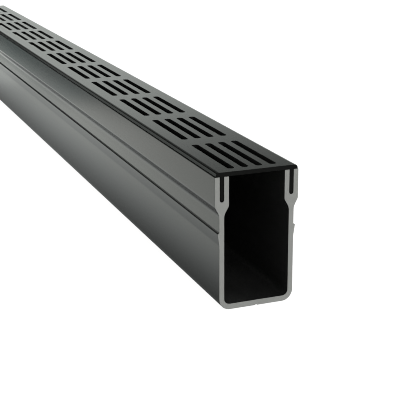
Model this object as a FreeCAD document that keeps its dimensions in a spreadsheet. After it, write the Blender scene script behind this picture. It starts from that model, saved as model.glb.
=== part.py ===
import FreeCAD, Part
import math
import os
import Sketcher

# A slotted line drain, eleven rows of slots long. Two extrusions: a deep narrow channel with forked wall tops,
# and a slotted cover plate whose two legs plug into the forks.
# Frame: X across the drain, Y along it, Z up. Origin on the underside, at the middle of width and length.
# The section lies in the XZ plane and runs half the length each way along Y. The visible end is the one at -Y.

doc = FreeCAD.newDocument("channel_drain")

# ---------------------------------------------------------------------------------- dimensions, mm
CELLS = [
    ("channel_length", 785.73, "sawn length of channel and cover, eleven pitches of the rows"),
    ("overall_width", 50.0, "across the forks"),
    ("overall_height", 80.0, "underside to top of cover"),
    ("body_width", 45.0, "across the outside of the walls, below the forks"),
    ("wall_thickness", 3.0, "upright walls"),
    ("floor_thickness", 3.3, "floor of the channel"),
    ("corner_outside", 6.5, "radius of the lower corners, outside"),
    ("corner_inside", 3.3, "radius of the lower corners, inside"),
    ("groove_width", 1.4, "drill line along the underside"),
    ("groove_depth", 0.6, "drill line along the underside"),
    ("barb_foot_height", 38.3, "where the anchor rib starts to swell from the wall"),
    ("barb_tip_height", 45.15, "edge of the anchor rib"),
    ("barb_reach", 1.0, "how far the rib stands out of the wall"),
    ("barb_hollow_radius", 1.3, "hollow above the rib"),
    ("barb_foot_radius", 8.0, "soft blend from the wall into the rib"),
    ("barb_edge_radius", 0.2, "edge of the rib"),
    ("taper_low_height", 55.8, "where the wall starts to widen into the fork"),
    ("taper_high_height", 60.55, "where the fork reaches full width"),
    ("taper_low_radius", 7.0, "hollow bends at the foot of the taper, both sides of the wall"),
    ("taper_high_radius", 3.0, "round bends at its top"),
    ("prong_thickness", 2.9, "each prong of a fork"),
    ("fork_gap", 2.5, "slot between the prongs"),
    ("fork_gap_floor", 63.2, "height of the round bottom of the slot"),
    ("prong_edge_radius", 0.3, "top edges of the prongs"),
    ("plate_thickness", 2.5, "cover plate"),
    ("plate_width", 49.28, "cover plate, a hair narrower than the forks it lies on"),
    ("plate_lip_height", 78.03, "lower end of the plate's leaning flanks, above the chamfer under them"),
    ("plate_chamfer", 0.54, "how far the chamfer under each flank runs in"),
    ("plate_shoulder_width", 48.34, "across the shoulders, where flank and top slope meet"),
    ("plate_shoulder_height", 79.4, "height of the shoulders"),
    ("plate_flat_width", 46.38, "across the lines where the flat top and its slopes would meet"),
    ("plate_shoulder_radius", 0.7, "shoulders of the cover plate"),
    ("plate_edge_radius", 2.9, "soft bend between the flat top and its slopes"),
    ("leg_thickness", 2.0, "legs of the cover"),
    ("leg_end_height", 63.7, "lowest line of the legs' round ends"),
    ("leg_root_radius", 0.2, "inside corner between leg and plate"),
    ("slot_width", 4.1, "water slots"),
    ("slot_length", 57.4, "water slots, over their round ends"),
    ("slot_pitch_across", 8.4, "slot to slot, side by side"),
    ("slot_count_across", 4, "slots side by side"),
    ("slot_pitch_along", 71.43, "row to row"),
    ("slot_rows", 11, "rows of slots"),
    ("first_slot_margin", 5.8, "visible end to the first row of slots"),
]

sheet = doc.addObject("Spreadsheet::Sheet", "dimensions")
D = {}
sheet.set("A1", "name")
sheet.set("B1", "mm")
sheet.set("C1", "what it is")
for row, (alias, value, note) in enumerate(CELLS, start=2):
    sheet.set("A%d" % row, alias)
    sheet.set("B%d" % row, str(value))
    sheet.set("C%d" % row, note)
    sheet.setAlias("B%d" % row, alias)
    D[alias] = value
doc.recompute()


def cell(text):
    """An expression in which every word that is an alias points at the sheet."""
    out, word = "", ""
    for ch in text + " ":
        if ch.isalnum() or ch == "_":
            word += ch
        else:
            out += ("dimensions." + word) if word in D else word
            out += ch
            word = ""
    return out.strip()


def value(text):
    """The number that the same expression gives, for placing a sketch's geometry."""
    total, sign = 0.0, 1.0
    for token in text.replace("-", "+ -").split("+"):
        token = token.strip()
        if not token:
            continue
        sign = 1.0
        if token.startswith("-"):
            sign, token = -1.0, token[1:].strip()
        product = sign
        divide = False
        for piece in token.replace("/", "* /").split("*"):
            piece = piece.strip()
            divide = piece.startswith("/")
            piece = piece.lstrip("/ ").strip()
            number = D[piece] if piece in D else float(piece)
            product = product / number if divide else product * number
        total += product
    return total


def P(x, z):
    return FreeCAD.Vector(x, z, 0)


def base_plane(body, role):
    return [o for o in body.Origin.OriginFeatures if o.Role == role][0]


def new_sketch(body, name, role):
    sk = body.newObject("Sketcher::SketchObject", name)
    sk.AttachmentSupport = [(base_plane(body, role), "")]
    sk.MapMode = "FlatFace"
    doc.recompute()
    return sk


def drive(sk, name, kind, *args):
    """A dimension of the sketch, named, and bound to the sheet. The last argument is its expression."""
    *where, text = args
    index = sk.addConstraint(Sketcher.Constraint(kind, *where, value(text)))
    sk.renameConstraint(index, name)
    sk.setExpression("Constraints." + name, cell(text))
    return index


def across(sk, name, geo, pos, text):
    drive(sk, name, "DistanceX", -1, 1, geo, pos, text)


def up(sk, name, geo, pos, text):
    drive(sk, name, "DistanceY", -1, 1, geo, pos, text)


def check_sketch(sk):
    doc.recompute()
    if sk.solve() != 0:
        raise RuntimeError("sketch %s does not solve" % sk.Name)
    print("sketch %-16s fully constrained: %s" % (sk.Name, sk.FullyConstrained))


def lengthwise(feature, profile, text):
    """Set a pad or pocket to run along Y, half each way from the section plane."""
    feature.Profile = profile
    feature.SideType = "Symmetric"
    feature.setExpression("Length", cell(text))
    doc.recompute()
    return feature


def edges_along_y(shape, places, tol=1e-3):
    """Names of the long edges parallel to Y that pass through the given (x, z) places."""
    names = []
    for x, z in places:
        found = None
        for i, e in enumerate(shape.Edges, start=1):
            a, b = e.firstVertex().Point, e.lastVertex().Point
            if abs(a.y - b.y) < 0.9 * D["channel_length"]:
                continue
            if all(abs(p.x - x) < tol and abs(p.z - z) < tol for p in (a, b)):
                found = "Edge%d" % i
        if not found:
            raise RuntimeError("no edge along Y at x %.3f z %.3f" % (x, z))
        names.append(found)
    return names


def both_sides(*places):
    return [(s * x, z) for x, z in places for s in (1, -1)]


def round_edges(body, name, base, places, alias):
    fillet = body.newObject("PartDesign::Fillet", name)
    fillet.Base = (base, edges_along_y(base.Shape, places))
    fillet.setExpression("Radius", "dimensions." + alias)
    body.Tip = fillet
    doc.recompute()
    if fillet.Shape.isNull() or not fillet.Shape.isValid():
        raise RuntimeError("fillet %s failed" % name)
    return fillet


# -------------------------------------------------------------------------------- channel_body
channel = doc.addObject("PartDesign::Body", "channel_body")
channel.Label = "channel_body"

x_wall = value("body_width / 2")
x_inner = value("body_width / 2 - wall_thickness")
x_fork = value("overall_width / 2")
x_fork_inner = value("overall_width / 2 - 2 * prong_thickness - fork_gap")
z_prong = value("overall_height - plate_thickness")

# Right half of the section, corners still sharp, except the hollow above the anchor rib.
sk = new_sketch(channel, "half_section", "XZ_Plane")
rib = P(x_wall + D["barb_reach"], D["barb_tip_height"])
hollow = D["barb_hollow_radius"]
# The hollow is an arc that leaves the wall tangent to it and ends at the rib's edge.
hollow_z = rib.y + math.sqrt(hollow ** 2 - (hollow - D["barb_reach"]) ** 2)
hollow_centre = P(x_wall + hollow, hollow_z)
corners = [
    P(0, 0),
    P(x_wall, 0),
    P(x_wall, D["barb_foot_height"]),
    rib,
    P(x_wall, hollow_z),
    P(x_wall, D["taper_low_height"]),
    P(x_fork, D["taper_high_height"]),
    P(x_fork, z_prong),
    P(x_fork_inner, z_prong),
    P(x_fork_inner, D["taper_high_height"]),
    P(x_inner, D["taper_low_height"]),
    P(x_inner, D["floor_thickness"]),
    P(0, D["floor_thickness"]),
]
count = len(corners)
HOLLOW = 3
for i in range(count):
    a, b = corners[i], corners[(i + 1) % count]
    if i == HOLLOW:
        start = math.atan2(b.y - hollow_centre.y, b.x - hollow_centre.x)
        end = math.atan2(a.y - hollow_centre.y, a.x - hollow_centre.x)
        circle = Part.Circle(hollow_centre, FreeCAD.Vector(0, 0, 1), hollow)
        # Counter-clockwise from the wall to the rib's edge, so its start is the wall point.
        sk.addGeometry(Part.ArcOfCircle(circle, start % (2 * math.pi), end % (2 * math.pi)), False)
    else:
        sk.addGeometry(Part.LineSegment(a, b), False)
for i in range(count):
    j = (i + 1) % count
    if i == HOLLOW:
        sk.addConstraint(Sketcher.Constraint("Tangent", i, 1, j, 1))
    elif j == HOLLOW:
        sk.addConstraint(Sketcher.Constraint("Coincident", i, 2, j, 2))
    else:
        sk.addConstraint(Sketcher.Constraint("Coincident", i, 2, j, 1))
sk.addConstraint(Sketcher.Constraint("Coincident", 0, 1, -1, 1))
for i in (0, 7, 11):
    sk.addConstraint(Sketcher.Constraint("Horizontal", i))
for i in (1, 4, 6, 8, 10, 12):
    sk.addConstraint(Sketcher.Constraint("Vertical", i))
across(sk, "wall_face", 0, 2, "body_width / 2")
up(sk, "rib_foot", 1, 2, "barb_foot_height")
across(sk, "rib_reach", 2, 2, "body_width / 2 + barb_reach")
up(sk, "rib_edge", 2, 2, "barb_tip_height")
drive(sk, "rib_hollow", "Radius", 3, "barb_hollow_radius")
across(sk, "wall_above_rib", 4, 1, "body_width / 2")
up(sk, "taper_low_outside", 4, 2, "taper_low_height")
across(sk, "fork_face", 5, 2, "overall_width / 2")
up(sk, "taper_high_outside", 5, 2, "taper_high_height")
up(sk, "prong_top", 6, 2, "overall_height - plate_thickness")
across(sk, "fork_inner_face", 7, 2, "overall_width / 2 - 2 * prong_thickness - fork_gap")
up(sk, "taper_high_inside", 8, 2, "taper_high_height")
across(sk, "wall_inner_face", 9, 2, "body_width / 2 - wall_thickness")
up(sk, "taper_low_inside", 9, 2, "taper_low_height")
up(sk, "floor_top", 10, 2, "floor_thickness")
check_sketch(sk)

half = channel.newObject("PartDesign::Pad", "half_channel")
lengthwise(half, sk, "channel_length")


def round_ended_strip(sk, x_text, half_width_text, bottom_text, top_text):
    """An upright strip with a full round lower end: two lines, an arc below, a line above."""
    xc, r, zb, zt = value(x_text), value(half_width_text), value(bottom_text), value(top_text)
    zc = zb + r
    sk.addGeometry(Part.LineSegment(P(xc - r, zt), P(xc - r, zc)), False)
    circle = Part.Circle(P(xc, zc), FreeCAD.Vector(0, 0, 1), r)
    sk.addGeometry(Part.ArcOfCircle(circle, math.pi, 2 * math.pi), False)
    sk.addGeometry(Part.LineSegment(P(xc + r, zc), P(xc + r, zt)), False)
    sk.addGeometry(Part.LineSegment(P(xc + r, zt), P(xc - r, zt)), False)
    sk.addConstraint(Sketcher.Constraint("Tangent", 0, 2, 1, 1))
    sk.addConstraint(Sketcher.Constraint("Tangent", 1, 2, 2, 1))
    sk.addConstraint(Sketcher.Constraint("Coincident", 2, 2, 3, 1))
    sk.addConstraint(Sketcher.Constraint("Coincident", 3, 2, 0, 1))
    sk.addConstraint(Sketcher.Constraint("Vertical", 0))
    sk.addConstraint(Sketcher.Constraint("Vertical", 2))
    sk.addConstraint(Sketcher.Constraint("Horizontal", 3))
    drive(sk, "end_radius", "Radius", 1, half_width_text)
    across(sk, "centre_line", 1, 3, x_text)
    up(sk, "end_centre", 1, 3, bottom_text + " + " + half_width_text)
    up(sk, "upper_line", 3, 2, top_text)
    check_sketch(sk)


# The slot of the fork, open at the top, with a full round bottom.
sk = new_sketch(channel, "fork_slot", "XZ_Plane")
round_ended_strip(
    sk,
    "overall_width / 2 - prong_thickness - fork_gap / 2",
    "fork_gap / 2",
    "fork_gap_floor",
    "overall_height",
)
fork_cut = channel.newObject("PartDesign::Pocket", "fork_slot_cut")
before = half.Shape.Volume
lengthwise(fork_cut, sk, "channel_length + 2")
if fork_cut.Shape.Volume > before - 20000:
    raise RuntimeError("the fork slot cut nothing")

# The other half.
mirror = channel.newObject("PartDesign::Mirrored", "both_halves")
mirror.Originals = [half, fork_cut]
mirror.MirrorPlane = (base_plane(channel, "YZ_Plane"), [""])
channel.Tip = mirror
doc.recompute()
if abs(mirror.Shape.Volume - 2 * fork_cut.Shape.Volume) > 1:
    raise RuntimeError("the mirrored half is not the same size")

# The drill line along the underside, a small V groove.
sk = new_sketch(channel, "drill_line", "XZ_Plane")
gw, gd = value("groove_width / 2"), D["groove_depth"]
sk.addGeometry(Part.LineSegment(P(-gw, 0), P(gw, 0)), False)
sk.addGeometry(Part.LineSegment(P(gw, 0), P(0, gd)), False)
sk.addGeometry(Part.LineSegment(P(0, gd), P(-gw, 0)), False)
for i in range(3):
    sk.addConstraint(Sketcher.Constraint("Coincident", i, 2, (i + 1) % 3, 1))
sk.addConstraint(Sketcher.Constraint("Symmetric", 0, 1, 0, 2, -1, 1))
sk.addConstraint(Sketcher.Constraint("Horizontal", 0))
sk.addConstraint(Sketcher.Constraint("PointOnObject", 1, 2, -2))
drive(sk, "mouth", "DistanceX", 0, 1, 0, 2, "groove_width")
up(sk, "depth", 1, 2, "groove_depth")
check_sketch(sk)
groove = channel.newObject("PartDesign::Pocket", "drill_line_cut")
lengthwise(groove, sk, "channel_length + 2")
if groove.Shape.Volume > mirror.Shape.Volume - 100:
    raise RuntimeError("the drill line cut nothing")

# Rounded edges, all of them along the whole length.
step = round_edges(channel, "outer_corners", groove, both_sides((x_wall, 0)), "corner_outside")
step = round_edges(channel, "inner_corners", step, both_sides((x_inner, D["floor_thickness"])), "corner_inside")
step = round_edges(
    channel,
    "taper_low_bends",
    step,
    both_sides((x_wall, D["taper_low_height"]), (x_inner, D["taper_low_height"])),
    "taper_low_radius",
)
step = round_edges(
    channel,
    "taper_high_bends",
    step,
    both_sides((x_fork, D["taper_high_height"]), (x_fork_inner, D["taper_high_height"])),
    "taper_high_radius",
)
x_gap_out = value("overall_width / 2 - prong_thickness")
x_gap_in = value("overall_width / 2 - prong_thickness - fork_gap")
step = round_edges(
    channel,
    "prong_edges",
    step,
    both_sides((x_fork, z_prong), (x_gap_out, z_prong), (x_gap_in, z_prong), (x_fork_inner, z_prong)),
    "prong_edge_radius",
)
step = round_edges(channel, "rib_edge", step, both_sides((rib.x, rib.y)), "barb_edge_radius")
step = round_edges(channel, "rib_foot", step, both_sides((x_wall, D["barb_foot_height"])), "barb_foot_radius")

# ---------------------------------------------------------------------------------------- grate
grate = doc.addObject("PartDesign::Body", "grate")
grate.Label = "grate"

# The plate lies on the tops of the prongs and is a little narrower than the channel, so that a thin ledge shows
# below each of its long edges. Its flanks lean in, and a chamfer under them leaves a dark line above the ledge.
sk = new_sketch(grate, "plate_section", "XZ_Plane")
zl, zh = z_prong, D["overall_height"]
x_plate = value("plate_width / 2")
x_shoulder = value("plate_shoulder_width / 2")
x_flat = value("plate_flat_width / 2")
half_ring = [
    P(value("plate_width / 2 - plate_chamfer"), zl),
    P(x_plate, D["plate_lip_height"]),
    P(x_shoulder, D["plate_shoulder_height"]),
    P(x_flat, zh),
]
ring = half_ring + [P(-p.x, p.y) for p in reversed(half_ring)]
for i in range(8):
    sk.addGeometry(Part.LineSegment(ring[i], ring[(i + 1) % 8]), False)
for i in range(8):
    sk.addConstraint(Sketcher.Constraint("Coincident", i, 2, (i + 1) % 8, 1))
# Each corner on the right and its partner on the left are symmetric about the middle.
for i in range(4):
    sk.addConstraint(Sketcher.Constraint("Symmetric", i, 1, 7 - i, 1, -2))
across(sk, "underside_edge", 0, 1, "plate_width / 2 - plate_chamfer")
up(sk, "plate_underside", 0, 1, "overall_height - plate_thickness")
across(sk, "flank_foot", 1, 1, "plate_width / 2")
up(sk, "lip", 1, 1, "plate_lip_height")
across(sk, "shoulder", 2, 1, "plate_shoulder_width / 2")
up(sk, "shoulder_height", 2, 1, "plate_shoulder_height")
across(sk, "flat_edge", 3, 1, "plate_flat_width / 2")
up(sk, "plate_top", 3, 1, "overall_height")
check_sketch(sk)
plate = grate.newObject("PartDesign::Pad", "plate")
lengthwise(plate, sk, "channel_length")

# One leg, hanging in the middle of the fork's slot with the same room on both sides.
sk = new_sketch(grate, "leg_section", "XZ_Plane")
round_ended_strip(
    sk,
    "overall_width / 2 - prong_thickness - fork_gap / 2",
    "leg_thickness / 2",
    "leg_end_height",
    "overall_height - plate_thickness / 2",
)
leg = grate.newObject("PartDesign::Pad", "leg")
lengthwise(leg, sk, "channel_length")

legs = grate.newObject("PartDesign::Mirrored", "both_legs")
legs.Originals = [leg]
legs.MirrorPlane = (base_plane(grate, "YZ_Plane"), [""])
grate.Tip = legs
doc.recompute()
if abs((legs.Shape.Volume - leg.Shape.Volume) - (leg.Shape.Volume - plate.Shape.Volume)) > 1:
    raise RuntimeError("the second leg is missing")

# One water slot with round ends, then rows of four.
sk = new_sketch(grate, "water_slot", "XY_Plane")
sk.setExpression("AttachmentOffset.Base.z", "dimensions.overall_height")
x_first = "0 - slot_pitch_across * 3 / 2"
y_first = "first_slot_margin + slot_length / 2 - channel_length / 2"
r = value("slot_width / 2")
xc, yc, straight = value(x_first), value(y_first), value("slot_length / 2 - slot_width / 2")
sk.addGeometry(Part.LineSegment(P(xc + r, yc - straight), P(xc + r, yc + straight)), False)
top_circle = Part.Circle(P(xc, yc + straight), FreeCAD.Vector(0, 0, 1), r)
sk.addGeometry(Part.ArcOfCircle(top_circle, 0, math.pi), False)
sk.addGeometry(Part.LineSegment(P(xc - r, yc + straight), P(xc - r, yc - straight)), False)
low_circle = Part.Circle(P(xc, yc - straight), FreeCAD.Vector(0, 0, 1), r)
sk.addGeometry(Part.ArcOfCircle(low_circle, math.pi, 2 * math.pi), False)
for i in range(4):
    sk.addConstraint(Sketcher.Constraint("Tangent", i, 2, (i + 1) % 4, 1))
sk.addConstraint(Sketcher.Constraint("Vertical", 0))
sk.addConstraint(Sketcher.Constraint("Vertical", 2))
drive(sk, "end_radius", "Radius", 1, "slot_width / 2")
across(sk, "first_slot_across", 3, 3, x_first)
up(sk, "first_slot_near_end", 3, 3, "first_slot_margin + slot_width / 2 - channel_length / 2")
up(sk, "first_slot_far_end", 1, 3, "first_slot_margin + slot_length - slot_width / 2 - channel_length / 2")
check_sketch(sk)
slot_cut = grate.newObject("PartDesign::Pocket", "water_slot_cut")
slot_cut.Profile = sk
slot_cut.setExpression("Length", cell("plate_thickness + 0.5"))
grate.Tip = slot_cut
doc.recompute()
one_slot = legs.Shape.Volume - slot_cut.Shape.Volume
flat_area = D["slot_width"] * (D["slot_length"] - D["slot_width"]) + math.pi * r ** 2
if abs(one_slot - flat_area * D["plate_thickness"]) > 0.5:
    raise RuntimeError("the water slot is not cut through the plate: %.1f" % one_slot)

slots = grate.newObject("PartDesign::MultiTransform", "water_slots")
slots.Originals = [slot_cut]
across_row = grate.newObject("PartDesign::LinearPattern", "slots_of_a_row")
across_row.Direction = (base_plane(grate, "X_Axis"), [""])
across_row.Mode = "Spacing"
across_row.setExpression("Offset", "dimensions.slot_pitch_across")
across_row.setExpression("Occurrences", "dimensions.slot_count_across")
along_rows = grate.newObject("PartDesign::LinearPattern", "rows_of_slots")
along_rows.Direction = (base_plane(grate, "Y_Axis"), [""])
along_rows.Mode = "Spacing"
along_rows.setExpression("Offset", "dimensions.slot_pitch_along")
along_rows.setExpression("Occurrences", "dimensions.slot_rows")
slots.Transformations = [across_row, along_rows]
grate.Tip = slots
doc.recompute()
wanted = D["slot_count_across"] * D["slot_rows"]
cut = (legs.Shape.Volume - slots.Shape.Volume) / one_slot
print("water slots cut: %.2f, wanted %d" % (cut, wanted))
if abs(cut - wanted) > 0.05:
    raise RuntimeError("the slot pattern is incomplete")

step = round_edges(grate, "plate_shoulders", slots, both_sides((x_shoulder, D["plate_shoulder_height"])), "plate_shoulder_radius")
step = round_edges(grate, "plate_edges", step, both_sides((x_flat, zh)), "plate_edge_radius")
x_leg = value("overall_width / 2 - prong_thickness - fork_gap / 2")
x_leg_half = value("leg_thickness / 2")
step = round_edges(
    grate,
    "leg_roots",
    step,
    both_sides((x_leg - x_leg_half, zl), (x_leg + x_leg_half, zl)),
    "leg_root_radius",
)

# Both pieces are drawn where they lie in the assembled drain.
channel.Placement = FreeCAD.Placement()
grate.Placement = FreeCAD.Placement()
doc.recompute()

# --------------------------------------------------------------------------------- check, write
for obj in doc.Objects:
    if "Invalid" in obj.State or "Error" in obj.State:
        raise RuntimeError("%s is in state %s" % (obj.Name, obj.State))
pieces = [channel, grate]
for piece in pieces:
    shape = piece.Shape
    if shape.isNull() or not shape.isValid():
        raise RuntimeError("%s has no valid shape" % piece.Label)
    if len(shape.Solids) != 1:
        raise RuntimeError("%s has %d solids" % (piece.Label, len(shape.Solids)))
    box = shape.BoundBox
    print(
        "%-14s volume %10.1f mm3  faces %4d  x %.3f..%.3f  y %.3f..%.3f  z %.3f..%.3f"
        % (piece.Label, shape.Volume, len(shape.Faces), box.XMin, box.XMax, box.YMin, box.YMax, box.ZMin, box.ZMax)
    )
shared = channel.Shape.common(grate.Shape)
print("channel and grate share %.6f mm3" % shared.Volume)
if shared.Volume > 0.01:
    raise RuntimeError("channel and grate overlap")

os.makedirs("parts", exist_ok=True)
for piece in pieces:
    piece.Shape.exportStep("parts/%s.step" % piece.Label)
print("written")
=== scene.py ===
import math

import bpy
from mathutils import Matrix, Vector


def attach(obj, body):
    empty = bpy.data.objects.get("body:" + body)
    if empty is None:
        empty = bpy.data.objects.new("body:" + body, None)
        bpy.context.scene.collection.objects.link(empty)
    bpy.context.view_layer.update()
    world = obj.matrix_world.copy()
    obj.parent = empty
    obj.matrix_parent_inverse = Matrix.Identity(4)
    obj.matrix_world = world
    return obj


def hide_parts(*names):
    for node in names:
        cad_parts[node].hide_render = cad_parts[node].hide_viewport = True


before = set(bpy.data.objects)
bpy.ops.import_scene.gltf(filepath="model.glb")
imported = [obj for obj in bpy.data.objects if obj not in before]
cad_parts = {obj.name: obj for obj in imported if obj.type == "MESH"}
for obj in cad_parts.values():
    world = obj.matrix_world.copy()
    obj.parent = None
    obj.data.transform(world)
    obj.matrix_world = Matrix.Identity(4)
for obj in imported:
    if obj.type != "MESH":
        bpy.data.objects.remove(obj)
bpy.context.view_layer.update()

MM = 0.001
LENGTH = 785.73
HALF = LENGTH / 2
END_BEVEL = 0.08  # the saw burr taken off the cut edges

# ------------------------------------------------------------------------------------------ sections


def rounded_outline(corners, step=7.5):
    """A closed section, anticlockwise in x, z, from (x, z, radius) corners. Returns its segments as
    (start, end, normal at start, normal at end), with the true normals of its lines and arcs."""
    runs = []
    n = len(corners)
    ends = []
    for i in range(n):
        px, pz, _ = corners[i - 1]
        x, z, r = corners[i]
        nx, nz, _ = corners[(i + 1) % n]
        p, here, q = Vector((px, pz)), Vector((x, z)), Vector((nx, nz))
        into, out = (here - p).normalized(), (q - here).normalized()
        if isinstance(r, tuple):
            # A square corner rounded to a quarter of an ellipse, r being its half axes along x and z.
            a = abs(r[0] * into.x) + abs(r[1] * into.y)
            b = abs(r[0] * out.x) + abs(r[1] * out.y)
            centre = here - into * a + out * b
            points = []
            for k in range(17):
                f = math.radians(90.0 * k / 16)
                place = centre - out * b * math.cos(f) + into * a * math.sin(f)
                points.append((place, (into * math.sin(f) / a - out * math.cos(f) / b).normalized()))
            ends.append((points[0][0], points[-1][0], points))
            continue
        turn = math.atan2(into.x * out.y - into.y * out.x, into.dot(out))
        if r <= 0 or abs(turn) < 1e-6:
            ends.append((here, here, []))
            continue
        back = r * math.tan(abs(turn) / 2)
        start, end = here - into * back, here + out * back
        side = 1 if turn > 0 else -1
        centre = start + Vector((-into.y, into.x)) * r * side
        count = max(2, math.ceil(abs(math.degrees(turn)) / step))
        angle = math.atan2(start.y - centre.y, start.x - centre.x)
        points = []
        for k in range(count + 1):
            a = angle + turn * k / count
            d = Vector((math.cos(a), math.sin(a)))
            points.append((centre + d * r, d * side))
        ends.append((start, end, points))
    for i in range(n):
        start, end, points = ends[i]
        for (a, na), (b, nb) in zip(points, points[1:]):
            runs.append((a, b, na, nb))
        following = ends[(i + 1) % n][0]
        if (following - end).length > 1e-4:
            d = (following - end).normalized()
            normal = Vector((d.y, -d.x))
            runs.append((end, following, normal, normal))
    return runs


def split_runs(runs, places):
    """Cuts straight runs at the given (x, z) places, which lie on them."""
    out = []
    for a, b, na, nb in runs:
        length = (b - a).length
        cuts = []
        if (na - nb).length < 1e-9:
            for x, z in places:
                p = Vector((x, z))
                t = (p - a).dot(b - a) / length ** 2
                if 1e-6 < t < 1 - 1e-6 and (a + (b - a) * t - p).length < 1e-4:
                    cuts.append((t, p))
        points = [a] + [p for _, p in sorted(cuts, key=lambda c: c[0])] + [b]
        for p, q in zip(points, points[1:]):
            out.append((p, q, na, nb))
    return out


class Skin:
    """A mesh made face by face, with its true normals, its finishes and a flat layout of its surface."""

    def __init__(self):
        self.co, self.key = [], {}
        self.faces, self.normals, self.finish, self.flat = [], [], [], []

    def vertex(self, p):
        k = tuple(round(c * 1000) for c in p)
        if k not in self.key:
            self.key[k] = len(self.co)
            self.co.append(tuple(c * MM for c in p))
        return self.key[k]

    def face(self, points, normals, finish, flat):
        ids = [self.vertex(p) for p in points]
        keep = [i for i in range(len(ids)) if ids[i] != ids[i - 1]]
        if len(keep) < 3:
            return
        self.faces.append([ids[i] for i in keep])
        self.normals.extend(Vector(normals[i]).normalized() for i in keep)
        self.finish.append(finish)
        self.flat.extend(flat[i] for i in keep)

    def build(self, name, materials):
        mesh = bpy.data.meshes.new(name)
        mesh.from_pydata(self.co, [], self.faces)
        uses = {}
        for f in self.faces:
            for a, b in zip(f, f[1:] + f[:1]):
                uses[(min(a, b), max(a, b))] = uses.get((min(a, b), max(a, b)), 0) + 1
        open_edges = sum(1 for c in uses.values() if c != 2)
        print(name, "faces", len(self.faces), "vertices", len(self.co), "edges not shared by two faces", open_edges)
        for m in materials:
            mesh.materials.append(m)
        mesh.polygons.foreach_set("material_index", self.finish)
        mesh.polygons.foreach_set("use_smooth", [True] * len(self.faces))
        layer = mesh.uv_layers.new(name="OFBake")
        layer.data.foreach_set("uv", [c for uv in self.flat for c in uv])
        mesh.normals_split_custom_set([tuple(n) for n in self.normals])
        mesh.update()
        if mesh.validate(verbose=True):
            raise RuntimeError(name + " had faulty faces")
        obj = bpy.data.objects.new(name, mesh)
        bpy.context.scene.collection.objects.link(obj)
        return obj


def running_length(runs):
    at, total = [], 0.0
    for a, b, _, _ in runs:
        at.append(total)
        total += (b - a).length
    return at, total


def ring_with_inset(runs, inset):
    """The section's points, and the same points drawn in by inset along the mean of their two normals."""
    full, small = [], []
    for i, (a, _, na, _) in enumerate(runs):
        before = runs[i - 1][3]
        mean = before + na
        full.append(a)
        small.append(a - mean.normalized() * inset / max(0.4, mean.length / 2))
    return full, small


def extrude(skin, runs, stations, leave_out=None):
    """Skins the section from end to end: bevelled saw cuts, then the long faces between the stations.
    leave_out(a, b) names the runs that something else fills between the bevels."""
    at, total = running_length(runs)
    full, small = ring_with_inset(runs, END_BEVEL)
    n = len(runs)

    def uv(i, k, y):
        s = at[i] if k == 0 else (at[i + 1] if i + 1 < n else total)
        return (0.005 + 0.92 * s / total, 0.005 + 0.99 * (y + HALF) / LENGTH)

    def cap_uv(p, upper):
        return (0.935 + 0.055 * (p.x + 25) / 50, (0.55 if upper else 0.02) + 0.4 * p.y / 80)

    for i in range(n):
        a, b, na, nb = runs[i]
        na3, nb3 = Vector((na.x, 0, na.y)), Vector((nb.x, 0, nb.y))
        j = (i + 1) % n
        # Bevels at both cuts: bare metal, like the cut faces.
        for end in (-1, 1):
            y_cap, y_full = end * HALF, end * (HALF - END_BEVEL)
            tilt = Vector((0, end, 0))
            pts = [
                (full[i].x, y_full, full[i].y),
                (full[j].x, y_full, full[j].y),
                (small[j].x, y_cap, small[j].y),
                (small[i].x, y_cap, small[i].y),
            ]
            nrm = [na3 + tilt, nb3 + tilt, nb3 + tilt, na3 + tilt]
            tex = [cap_uv(full[i], end > 0), cap_uv(full[j], end > 0), cap_uv(small[j], end > 0), cap_uv(small[i], end > 0)]
            if end > 0:
                pts, nrm, tex = pts[::-1], nrm[::-1], tex[::-1]
            skin.face(pts[::-1], nrm[::-1], 1, tex[::-1])
        if leave_out and leave_out(a, b):
            continue
        for y0, y1 in zip(stations, stations[1:]):
            skin.face(
                [(a.x, y0, a.y), (a.x, y1, a.y), (b.x, y1, b.y), (b.x, y0, b.y)],
                [na3, na3, nb3, nb3],
                0,
                [uv(i, 0, y0), uv(i, 0, y1), uv(i, 1, y1), uv(i, 1, y0)],
            )
    front = [(p.x, -HALF, p.y) for p in small]
    skin.face(front, [(0, -1, 0)] * n, 1, [cap_uv(p, False) for p in small])
    back = [(p.x, HALF, p.y) for p in reversed(small)]
    skin.face(back, [(0, 1, 0)] * n, 1, [cap_uv(p, True) for p in reversed(small)])


# -------------------------------------------------------------------------------------- procedural looks


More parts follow.
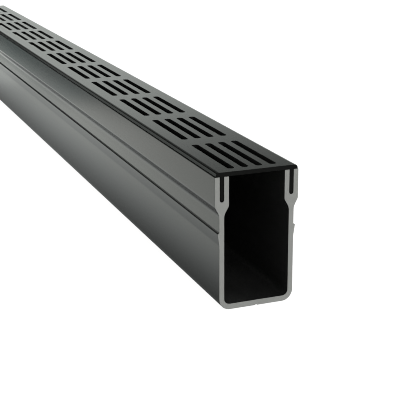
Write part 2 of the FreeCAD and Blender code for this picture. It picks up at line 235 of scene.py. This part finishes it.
class Look:
    def __init__(self, name):
        self.material = bpy.data.materials.new(name)
        self.material.use_nodes = True
        self.tree = self.material.node_tree
        self.shader = self.tree.nodes["Principled BSDF"]
        self.coords = self.tree.nodes.new("ShaderNodeTexCoord").outputs["Object"]

    def node(self, kind, **values):
        n = self.tree.nodes.new(kind)
        for k, v in values.items():
            setattr(n, k, v)
        return n

    def link(self, a, b):
        self.tree.links.new(a, b)

    def scaled(self, scale, turn=(0, 0, 0)):
        n = self.node("ShaderNodeMapping")
        n.inputs["Scale"].default_value = scale
        n.inputs["Rotation"].default_value = turn
        self.link(self.coords, n.inputs["Vector"])
        return n.outputs["Vector"]

    def noise(self, vector, scale=1.0, detail=2.0, rough=0.5, distort=0.0):
        n = self.node("ShaderNodeTexNoise")
        n.inputs["Scale"].default_value = scale
        n.inputs["Detail"].default_value = detail
        n.inputs["Roughness"].default_value = rough
        n.inputs["Distortion"].default_value = distort
        self.link(vector, n.inputs["Vector"])
        return n.outputs["Fac"]

    def spread(self, value, low_in, high_in, low_out, high_out):
        n = self.node("ShaderNodeMapRange")
        for socket, v in (("From Min", low_in), ("From Max", high_in), ("To Min", low_out), ("To Max", high_out)):
            n.inputs[socket].default_value = v
        self.link(value, n.inputs["Value"])
        return n.outputs["Result"]

    def math(self, kind, a, b):
        n = self.node("ShaderNodeMath", operation=kind)
        for socket, v in zip(n.inputs, (a, b)):
            if isinstance(v, (int, float)):
                socket.default_value = v
            else:
                self.link(v, socket)
        return n.outputs[0]

    def blend(self, factor, low, high):
        n = self.node("ShaderNodeMix", data_type="RGBA")
        for end, colour in zip([s for s in n.inputs if s.type == "RGBA"], (low, high)):
            if isinstance(colour, tuple):
                end.default_value = (*colour, 1)
            else:
                self.link(colour, end)
        self.link(factor, n.inputs["Factor"])
        return [s for s in n.outputs if s.type == "RGBA"][0]

    def bump(self, height, depth, strength=1.0, after=None):
        n = self.node("ShaderNodeBump")
        n.inputs["Strength"].default_value = strength
        n.inputs["Distance"].default_value = depth
        self.link(height, n.inputs["Height"])
        if after:
            self.link(after, n.inputs["Normal"])
        return n.outputs["Normal"]

    def to(self, socket, value):
        if isinstance(value, (int, float, tuple)):
            self.shader.inputs[socket].default_value = value
        else:
            self.link(value, self.shader.inputs[socket])


def painted_light_by_the_mouth(look):
    """Painted light on the channel's floor just inside its near open end: lighter there and fading inward, more of it
    on the left, broken up by noise.
    """
    x, y, z = look.node("ShaderNodeSeparateXYZ").outputs
    look.link(look.coords, x.node.inputs[0])
    inside = look.math("MULTIPLY", look.spread(look.math("ABSOLUTE", x, 0.0), 0.0188, 0.0193, 1, 0), look.spread(z, 0.0022, 0.0031, 0, 1))
    low = look.spread(z, 0.0036, 0.0075, 1, 0)
    mouth = look.spread(y, (-HALF - 60) * MM, (-HALF + 100) * MM, 1, 0)
    leftward = look.spread(x, -0.016, 0.018, 1, 0.35)
    light_mottle = look.spread(look.noise(look.scaled((90, 60, 90)), detail=3, rough=0.6), 0.38, 0.62, 0.25, 0.75)
    light_flecks = look.spread(look.noise(look.scaled((620, 420, 620)), detail=1, rough=0.4), 0.6, 0.68, 0, 0.5)
    where = look.math("MULTIPLY", look.math("MULTIPLY", inside, low), look.math("MULTIPLY", mouth, leftward))
    return look.math("MULTIPLY", where, look.math("ADD", light_mottle, light_flecks))


def black_skin(name, dark, light, rough_low, rough_high, painted_mouth_light=False):
    """Black anodised extrusion: a satin skin with fine lines drawn out along its length."""
    look = Look(name)
    bands = look.noise(look.scaled((240, 0.35, 240)), detail=3, rough=0.6)
    lines = look.noise(look.scaled((1400, 0.8, 1400)), detail=3, rough=0.6)
    grain = look.noise(look.scaled((7000, 2400, 7000)), detail=2, rough=0.5)
    cloud = look.noise(look.scaled((16, 7, 16)), detail=3, rough=0.55)
    drawn = look.math("ADD", look.math("MULTIPLY", bands, 0.55), look.math("MULTIPLY", lines, 0.45))
    tone = look.math("ADD", look.math("MULTIPLY", drawn, 0.65), look.math("MULTIPLY", cloud, 0.35))
    skin = look.blend(look.spread(tone, 0.35, 0.65, 0, 1), dark, light)
    if painted_mouth_light:
        # Painted light: the channel's floor is lighter just inside its near open end, fading inward, more on the left.
        skin = look.blend(painted_light_by_the_mouth(look), skin, (0.031, 0.031, 0.0305))
    look.to("Base Color", skin)
    look.to("Roughness", look.spread(tone, 0.35, 0.65, rough_low, rough_high))
    first = look.bump(bands, 0.00001, 0.5)
    second = look.bump(lines, 0.000003, 0.5, first)
    look.to("Normal", look.bump(grain, 0.0000012, 0.4, second))
    look.to("Metallic", 0.0)
    look.to("IOR", 1.5)
    look.to("Specular IOR Level", 0.5)
    look.to("Specular Tint", (0.965, 1.0, 0.96, 1))
    return look.material


def punched_black(name):
    """The walls of the punched slots: black and matt, torn a little from top to bottom by the punch."""
    look = Look(name)
    tear = look.noise(look.scaled((2600, 2600, 240)), detail=3, rough=0.6)
    look.to("Base Color", look.blend(look.spread(tear, 0.35, 0.65, 0, 1), (0.004, 0.004, 0.004), (0.009, 0.009, 0.009)))
    look.to("Roughness", look.spread(tear, 0.35, 0.65, 0.5, 0.7))
    look.to("Normal", look.bump(tear, 0.00001, 0.4))
    look.to("Specular IOR Level", 0.12)
    return look.material


def sawn_metal(name):
    """Bare sawn end: matt grey with the faint sweep of the saw across it."""
    look = Look(name)
    sweep = look.noise(look.scaled((300, 300, 5200), (0, math.radians(8), 0)), detail=3, rough=0.6)
    patch = look.noise(look.scaled((160, 160, 160)), detail=3, rough=0.5)
    grain = look.noise(look.scaled((5200, 5200, 5200)), detail=2, rough=0.6)
    tone = look.math("ADD", look.math("MULTIPLY", sweep, 0.45), look.math("MULTIPLY", patch, 0.3))
    tone = look.math("ADD", tone, look.math("MULTIPLY", grain, 0.25))
    look.to("Base Color", look.blend(look.spread(tone, 0.35, 0.65, 0, 1), (0.25, 0.2535, 0.2415), (0.292, 0.2955, 0.2825)))
    look.to("Roughness", look.spread(tone, 0.35, 0.65, 0.55, 0.7))
    first = look.bump(sweep, 0.00003, 0.5)
    look.to("Normal", look.bump(grain, 0.00001, 0.4, first))
    look.to("Metallic", 0.0)
    look.to("IOR", 1.45)
    look.to("Specular IOR Level", 0.3)
    return look.material


def sawn_black(name):
    """The cover's cut end, black like the rest of it: matt, with the same faint sweep."""
    look = Look(name)
    sweep = look.noise(look.scaled((300, 300, 5200), (0, math.radians(-6), 0)), detail=3, rough=0.6)
    grain = look.noise(look.scaled((5200, 5200, 5200)), detail=2, rough=0.6)
    tone = look.math("ADD", look.math("MULTIPLY", sweep, 0.6), look.math("MULTIPLY", grain, 0.4))
    look.to("Base Color", look.blend(look.spread(tone, 0.35, 0.65, 0, 1), (0.0025, 0.0026, 0.0025), (0.0055, 0.0057, 0.0054)))
    look.to("Roughness", look.spread(tone, 0.35, 0.65, 0.5, 0.66))
    first = look.bump(sweep, 0.00002, 0.5)
    look.to("Normal", look.bump(grain, 0.000006, 0.4, first))
    look.to("Specular IOR Level", 0.1)
    return look.material


# --------------------------------------------------------------------------------------------- channel

def mirrored(right):
    """Both sides of a section from the corners of its right side, which run anticlockwise."""
    return right + [(-x, z, r) for x, z, r in reversed(right)]


outer = [
    (0.7, 0.0, 0.15),
    (22.5, 0.0, 6.5),
    (22.5, 38.3, 8.0),
    (23.5, 45.15, 0.15),
    (22.5, 45.387, 1.12),
    (22.5, 55.8, 7.0),
    (25.0, 60.55, 3.0),
    (25.0, 77.5, 0.3),
    (22.1, 77.5, 0.3),
    (22.1, 63.2, 1.25),
    (19.6, 63.2, 1.25),
    (19.6, 77.5, 0.3),
    (16.7, 77.5, 0.3),
    (16.7, 60.55, 3.0),
    (19.5, 55.8, 7.0),
    (19.5, 3.3, 3.3),
]
channel_runs = rounded_outline(mirrored(outer) + [(0.0, 0.6, 0.1)])
skin = Skin()
count = 32
stations = [-HALF + END_BEVEL] + [-HALF + LENGTH * k / count for k in range(1, count)] + [HALF - END_BEVEL]
extrude(skin, channel_runs, stations)
channel = skin.build(
    "channel_body_skin",
    [
        black_skin("channel_black", (0.009, 0.0093, 0.009), (0.015, 0.0154, 0.015), 0.15, 0.21, painted_mouth_light=True),
        sawn_metal("channel_sawn"),
    ],
)
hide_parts("channel_body")
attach(channel, "channel")

# ----------------------------------------------------------------------------------------------- grate

TOP, UNDER = 80.0, 77.5
PITCH_X, SLOT_W, SLOT_L, PITCH_Y, FIRST, ROWS = 8.4, 4.1, 57.4, 71.43, 5.8, 11
LIP, LIP_UNDER = 0.14, 0.1
right = [
    (19.85, UNDER, 0.2),
    (19.85, 63.7, 0.999),
    (21.85, 63.7, 0.999),
    (21.85, UNDER, 0.2),
    (24.1, UNDER, 0.1),
    (24.64, 78.03, 0.1),
    (24.17, 79.4, 0.7),
    (23.19, TOP, 2.9),
]
grate_runs = rounded_outline(mirrored(right), step=6.0)
columns = [(i - 1.5) * PITCH_X for i in range(4)]
edges = [(i - 2) * PITCH_X for i in range(5)]
marks = sorted(set(columns + edges))
grate_runs = split_runs(grate_runs, [(x, z) for x in marks for z in (TOP, UNDER)])
field = 2 * PITCH_X + 1e-3


def in_field(a, b):
    flat = any(abs(a.y - z) < 1e-3 and abs(b.y - z) < 1e-3 for z in (TOP, UNDER))
    return flat and max(abs(a.x), abs(b.x)) <= field


near = [-HALF + FIRST + PITCH_Y * k for k in range(ROWS)]
stations = [-HALF + END_BEVEL] + [(near[k - 1] + SLOT_L + near[k]) / 2 for k in range(1, ROWS)] + [HALF - END_BEVEL]
skin = Skin()
extrude(skin, grate_runs, stations, leave_out=in_field)

g_at, g_total = running_length(grate_runs)


def flat_place(x, y, upper):
    """Where a point of the plate's face lies in the flat layout."""
    z = TOP if upper else UNDER
    for i, (a, b, _, _) in enumerate(grate_runs):
        if abs(a.y - z) < 1e-3 and abs(b.y - z) < 1e-3 and min(a.x, b.x) - 1e-3 <= x <= max(a.x, b.x) + 1e-3:
            s = g_at[i] + abs(x - a.x)
            return (0.005 + 0.92 * s / g_total, 0.005 + 0.99 * (y + HALF) / LENGTH)
    raise RuntimeError("no place for %r" % ((x, y, upper),))


def slot_ring(xc, y0, grow):
    """Points round a slot with full round ends, anticlockwise from its near tip, and their outward directions."""
    r = SLOT_W / 2
    quarter = 7
    out = []
    for centre, begin in ((y0 + r, -90.0), (y0 + SLOT_L - r, 0.0)):
        for k in range(quarter + 1):
            a = math.radians(begin + 90.0 * k / quarter)
            out.append((xc, centre, a))
    for centre, begin in ((y0 + SLOT_L - r, 90.0), (y0 + r, 180.0)):
        for k in range(1 if begin == 90.0 else 0, quarter + (1 if begin == 90.0 else 0)):
            a = math.radians(begin + 90.0 * k / quarter)
            out.append((xc, centre, a))
    return [
        (x + math.cos(a) * (r + grow), c + math.sin(a) * (r + grow), math.cos(a), math.sin(a))
        for x, c, a in out
    ]


# Ring levels from the top edge, rolled over by the punch, down to the small burr-free edge below.
levels = []
for k in range(5):
    t = math.radians(90.0 * k / 4)
    levels.append((LIP * (1 - math.sin(t)), TOP - LIP * (1 - math.cos(t)), math.sin(t), math.cos(t)))
levels.append((0.0, UNDER + LIP_UNDER, 1.0, 0.0))
levels.append((LIP_UNDER, UNDER, 0.7, -0.7))

UP, DOWN = (0, 0, 1), (0, 0, -1)
for k in range(ROWS):
    y0, y1 = stations[k], stations[k + 1]
    for c, xc in enumerate(columns):
        xa, xb = edges[c], edges[c + 1]
        rings = [slot_ring(xc, near[k], grow) for grow, _, _, _ in levels]
        half = 15  # index of the far tip in a ring
        total = len(rings[0])
        for upper, ring, z in ((True, rings[0], TOP), (False, rings[-1], UNDER)):
            tip_near, tip_far = ring[0], ring[half]
            left = [ring[i % total] for i in range(total, half - 1, -1)]  # near tip to far tip by the left side
            rightside = [ring[i] for i in range(half, -1, -1)]  # far tip to near tip by the right side
            first = [(xa, y0), (xc, y0)] + [p[:2] for p in left] + [(xc, y1), (xa, y1)]
            second = [(xc, y0), (xb, y0), (xb, y1), (xc, y1)] + [p[:2] for p in rightside]
            for poly in (first, second):
                pts = [(x, y, z) for x, y in poly]
                tex = [flat_place(x, y, upper) for x, y in poly]
                if not upper:
                    pts, tex = pts[::-1], tex[::-1]
                skin.face(pts, [UP if upper else DOWN] * len(pts), 0, tex)
        for j in range(len(levels) - 1):
            (_, z_a, out_a, up_a), (_, z_b, out_b, up_b) = levels[j], levels[j + 1]
            if j == len(levels) - 2:
                out_a, up_a = out_b, up_b
            ra, rb = rings[j], rings[j + 1]
            for i in range(total):
                m = (i + 1) % total
                a, b, d, e = ra[i], ra[m], rb[m], rb[i]
                nrm = [
                    (-a[2] * out_a, -a[3] * out_a, up_a),
                    (-b[2] * out_a, -b[3] * out_a, up_a),
                    (-d[2] * out_b, -d[3] * out_b, up_b),
                    (-e[2] * out_b, -e[3] * out_b, up_b),
                ]
                tex = []
                for p, zz in ((a, z_a), (b, z_a), (d, z_b), (e, z_b)):
                    pull = min(1.9, (TOP - zz) * 0.8)
                    grow = levels[j][0] if zz == z_a else levels[j + 1][0]
                    shift = -pull - grow if zz < TOP else 0
                    tex.append(flat_place(p[0] + p[2] * shift, p[1] + p[3] * shift, True))
                skin.face([(a[0], a[1], z_a), (b[0], b[1], z_a), (d[0], d[1], z_b), (e[0], e[1], z_b)], nrm, 0 if j < 2 else 2, tex)
grate = skin.build(
    "grate_skin",
    [
        black_skin("grate_black", (0.0018, 0.0019, 0.0018), (0.005, 0.0052, 0.005), 0.12, 0.18),
        sawn_black("grate_sawn"),
        punched_black("grate_punched"),
    ],
)
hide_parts("grate")
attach(grate, "cover")

# ------------------------------------------------------------------------------------- camera and studio

scene = bpy.context.scene
camera_data = bpy.data.cameras.new("view")
camera_data.sensor_fit = "HORIZONTAL"
camera_data.sensor_width = 36.0
camera_data.lens = 98.5364
camera_data.clip_start = 0.01
camera_data.clip_end = 60.0
camera = bpy.data.objects.new("view", camera_data)
camera.location = (-0.238180, -0.917654, 0.238328)
ahead = Vector((0.34726481, 0.8910043, -0.29243545))
right_way = Vector((0.93101506, -0.3649264, -0.0062996))
down_way = Vector((-0.11233039, -0.27007418, -0.95626451))
camera.rotation_euler = Matrix((right_way, -down_way, -ahead)).transposed().to_euler()
scene.collection.objects.link(camera)
scene.camera = camera


def sheet(name, z, reach, material):
    mesh = bpy.data.meshes.new(name)
    mesh.from_pydata([(-reach, -reach, 0), (reach, -reach, 0), (reach, reach, 0), (-reach, reach, 0)], [], [(0, 1, 2, 3)])
    mesh.materials.append(material)
    obj = bpy.data.objects.new(name, mesh)
    obj.location.z = z
    scene.collection.objects.link(obj)
    return obj


def ramp(look, value, stops):
    """A smooth curve through a few stops, which are grey levels or colours."""
    n = look.node("ShaderNodeValToRGB")
    n.color_ramp.interpolation = "CARDINAL"
    steps = n.color_ramp.elements
    steps[0].position, steps[1].position = stops[0][0], stops[-1][0]
    for position, _ in stops[1:-1]:
        steps.new(position)
    for element, (_, level) in zip(steps, stops):
        element.color = (*level, 1) if isinstance(level, tuple) else (level, level, level, 1)
    look.link(value, n.inputs["Fac"])
    return n.outputs["Color"]


# The floor that is seen: pale, softly lit, with the light shadow of the drain on it.
look = Look("studio_floor")
look.to("Base Color", (0.12, 0.12, 0.1195, 1))
look.to("Roughness", 0.9)
look.to("Specular IOR Level", 0.0)
look.to("Emission Color", (1.0, 1.0, 0.998, 1))
look.to("Emission Strength", 0.97)
floor = sheet("floor", -0.0001, 60, look.material)
floor.visible_glossy = False

# What the satin sides mirror instead of it: the same floor, darker in the shade close along the drain and again
# far behind its sides, where the lit area ends.
look = Look("studio_floor_mirrored")
x, y, _ = look.node("ShaderNodeSeparateXYZ").outputs
look.link(look.coords, x.node.inputs[0])
behind = look.math("ADD", y, HALF * MM)  # metres behind the near end
side = look.math("MAXIMUM", look.math("SUBTRACT", look.math("ABSOLUTE", x, 0.0), 0.0225), 0.0)
end = look.math("MAXIMUM", look.math("SUBTRACT", look.math("ABSOLUTE", y, 0.0), HALF * MM), 0.0)
away = look.math("SQRT", look.math("ADD", look.math("MULTIPLY", side, side), look.math("MULTIPLY", end, end)), 0.0)
near = ramp(look, look.math("MULTIPLY", away, 5.0), [
    (0.0, 0.17), (0.0375, 0.22), (0.0875, 0.4), (0.125, 0.57), (0.175, 0.78), (0.25, 0.96), (0.375, 0.97), (0.5, 1.0),
    (1.0, 1.0)])
along = look.spread(behind, 0.0, 1.0, 0, 1)
gain = ramp(look, along, [
    (0.0, 0.88), (0.06, 0.92), (0.12, 0.97), (0.2, 0.92), (0.3, 0.89), (0.4, 0.93), (0.5, 0.92), (0.6, 0.87), (0.7, 0.8),
    (1.0, 0.78)])
lift = ramp(look, along, [(0.0, 0.0), (0.12, 0.0), (0.3, 0.12), (0.6, 0.13), (0.75, 0.2), (1.0, 0.2)])
lit_to = look.math("MULTIPLY", look.math("EXPONENT", look.math("MULTIPLY", behind, -2.857), 0.0), 0.232)
past = look.math("DIVIDE", side, look.math("ADD", lit_to, 0.06))
fade = ramp(look, look.spread(past, 0.7, 1.45, 0, 1), [
    (0.0, 1.0), (0.133, 0.92), (0.4, 0.57), (0.56, 0.38), (0.8, 0.25), (1.0, 0.2)])
shade_edge = ramp(look, look.spread(side, 0.061, 0.084, 0, 1), [(0.0, 0.0), (0.2, 0.2), (0.5, 0.8), (1.0, 1.0)])
shade_depth = ramp(look, along, [
    (0.0, 0.06), (0.2, 0.12), (0.335, 0.15), (0.42, 0.12), (0.5, 0.1), (0.54, 0.14), (0.6, 0.355), (0.7, 0.42), (0.85, 0.43),
    (1.0, 0.38)])
bright_far = ramp(look, look.spread(behind, 0.65, 0.77, 0, 1), [(0.0, 0.0), (0.4, 0.35), (0.5, 0.6), (0.83, 1.0), (1.0, 1.0)])
bright_strip = ramp(look, look.spread(side, 0.01, 0.085, 0, 1), [
    (0.0, 0.0), (0.167, 0.22), (0.32, 0.26), (0.42, 0.3), (0.5, 0.15), (0.6, 0.0), (1.0, 0.0)])
glow = look.node("ShaderNodeEmission")
level = look.math("MULTIPLY", look.math("ADD", look.math("MULTIPLY", near, gain), lift), fade)
level = look.math("MULTIPLY", level, look.math("ADD", 1.0, look.math("MULTIPLY", bright_far, bright_strip)))
shade = look.math("MULTIPLY", shade_edge, shade_depth)
shade_tint = ramp(look, along, [
    (0.0, (0.97, 1.0, 0.95)), (0.55, (0.97, 1.0, 0.955)), (0.63, (0.895, 1.0, 0.975)), (0.77, (0.87, 1.0, 0.98)),
    (0.94, (0.78, 1.0, 0.985)), (1.0, (0.78, 1.0, 0.985))])
close_tint = ramp(look, look.math("MULTIPLY", away, 5.0), [
    (0.0, (0.955, 1.0, 0.985)), (0.14, (0.96, 1.0, 0.98)), (0.2, (0.965, 1.0, 0.96)), (0.26, (0.965, 1.0, 0.948)),
    (1.0, (0.965, 1.0, 0.948))])
look.link(look.blend(shade_edge, close_tint, shade_tint), glow.inputs["Color"])
look.link(look.math("MULTIPLY", level, look.math("SUBTRACT", 1.0, shade)), glow.inputs["Strength"])
look.link(glow.outputs[0], look.tree.nodes["Material Output"].inputs["Surface"])
mirrored_floor = sheet("floor_mirrored", -0.0002, 9, look.material)
mirrored_floor.visible_camera = False
mirrored_floor.visible_diffuse = False
mirrored_floor.visible_transmission = False
mirrored_floor.visible_shadow = False

# Round the table: pale backdrops that end at different heights on the left and the right of the drain's far end, with
# an unlit gap between them, dark above, and a broad soft light overhead.
world = bpy.data.worlds.new("studio")
scene.world = world
world.use_nodes = True


class Sky(Look):
    def __init__(self, tree):
        self.tree = tree
        self.coords = tree.nodes.new("ShaderNodeTexCoord").outputs["Generated"]


sky = Sky(world.node_tree)
x, y, z = sky.node("ShaderNodeSeparateXYZ").outputs
sky.link(sky.coords, x.node.inputs[0])
height = sky.math("MULTIPLY", sky.math("ARCSINE", z, 0.0), 180 / math.pi)
bearing = sky.math("MULTIPLY", sky.math("ARCTAN2", x, y), 180 / math.pi)  # degrees to the right of +Y
right_level = ramp(sky, sky.spread(bearing, 0.0, 20.0, 0, 1), [(0.0, 0.07), (0.2, 0.4), (0.4, 0.82), (1.0, 0.87)])
left_level = ramp(sky, sky.spread(bearing, -10.0, -35.0, 0, 1), [
    (0.0, 0.013), (0.104, 0.04), (0.18, 0.12), (0.252, 0.23), (0.332, 0.4), (0.424, 0.49), (0.508, 0.54), (0.58, 0.62),
    (0.668, 0.7), (1.0, 0.8)])
slant = sky.math("ADD", height, sky.math("MULTIPLY", sky.math("SUBTRACT", bearing, 21.3), 0.3))
right_cut = ramp(sky, sky.spread(slant, 6.0, 18.0, 0, 1), [
    (0.0, 0.92), (0.17, 0.88), (0.26, 0.9), (0.4, 0.99), (0.48, 0.92), (0.54, 0.7), (0.6, 0.525), (0.66, 0.405),
    (0.72, 0.335), (0.8, 0.295), (0.86, 0.25), (1.0, 0.1)])
left_cut = ramp(sky, sky.spread(height, 0.0, 26.0, 0, 1), [
    (0.0, 0.74), (0.5, 0.8), (0.7, 0.97), (0.8, 0.9), (0.88, 0.5), (1.0, 0.05)])
right_part = sky.math("MULTIPLY", right_level, right_cut)
left_part = sky.math("MULTIPLY", left_level, left_cut)
overhead = ramp(sky, sky.spread(height, 50.0, 90.0, 0, 1), [(0.0, 0.0), (0.35, 0.12), (0.7, 0.6), (1.0, 0.7)])
total_light = sky.math("ADD", sky.math("MAXIMUM", right_part, left_part), overhead)
sky.link(sky.math("ADD", total_light, 0.01), world.node_tree.nodes["Background"].inputs["Strength"])
world.node_tree.nodes["Background"].inputs["Color"].default_value = (0.948, 1.0, 0.955, 1)


def sun(name, strength, spread, elevation, azimuth):
    """A broad soft light from far off. Azimuth 0 comes from +Y, 90 from +X."""
    data = bpy.data.lights.new(name, "SUN")
    data.energy = strength
    data.angle = math.radians(spread)
    light = bpy.data.objects.new(name, data)
    e, a = math.radians(elevation), math.radians(azimuth)
    towards = Vector((math.sin(a) * math.cos(e), math.cos(a) * math.cos(e), math.sin(e)))
    light.rotation_euler = towards.to_track_quat("Z", "Y").to_euler()
    light.visible_glossy = False
    scene.collection.objects.link(light)
    return light


sun("soft_overhead", 2.6, 60, 68, 60)
sun("soft_front", 1.1, 50, 35, 190)

scene.view_settings.view_transform = "Standard"
scene.view_settings.look = "None"
scene.cycles.filter_width = 1.0
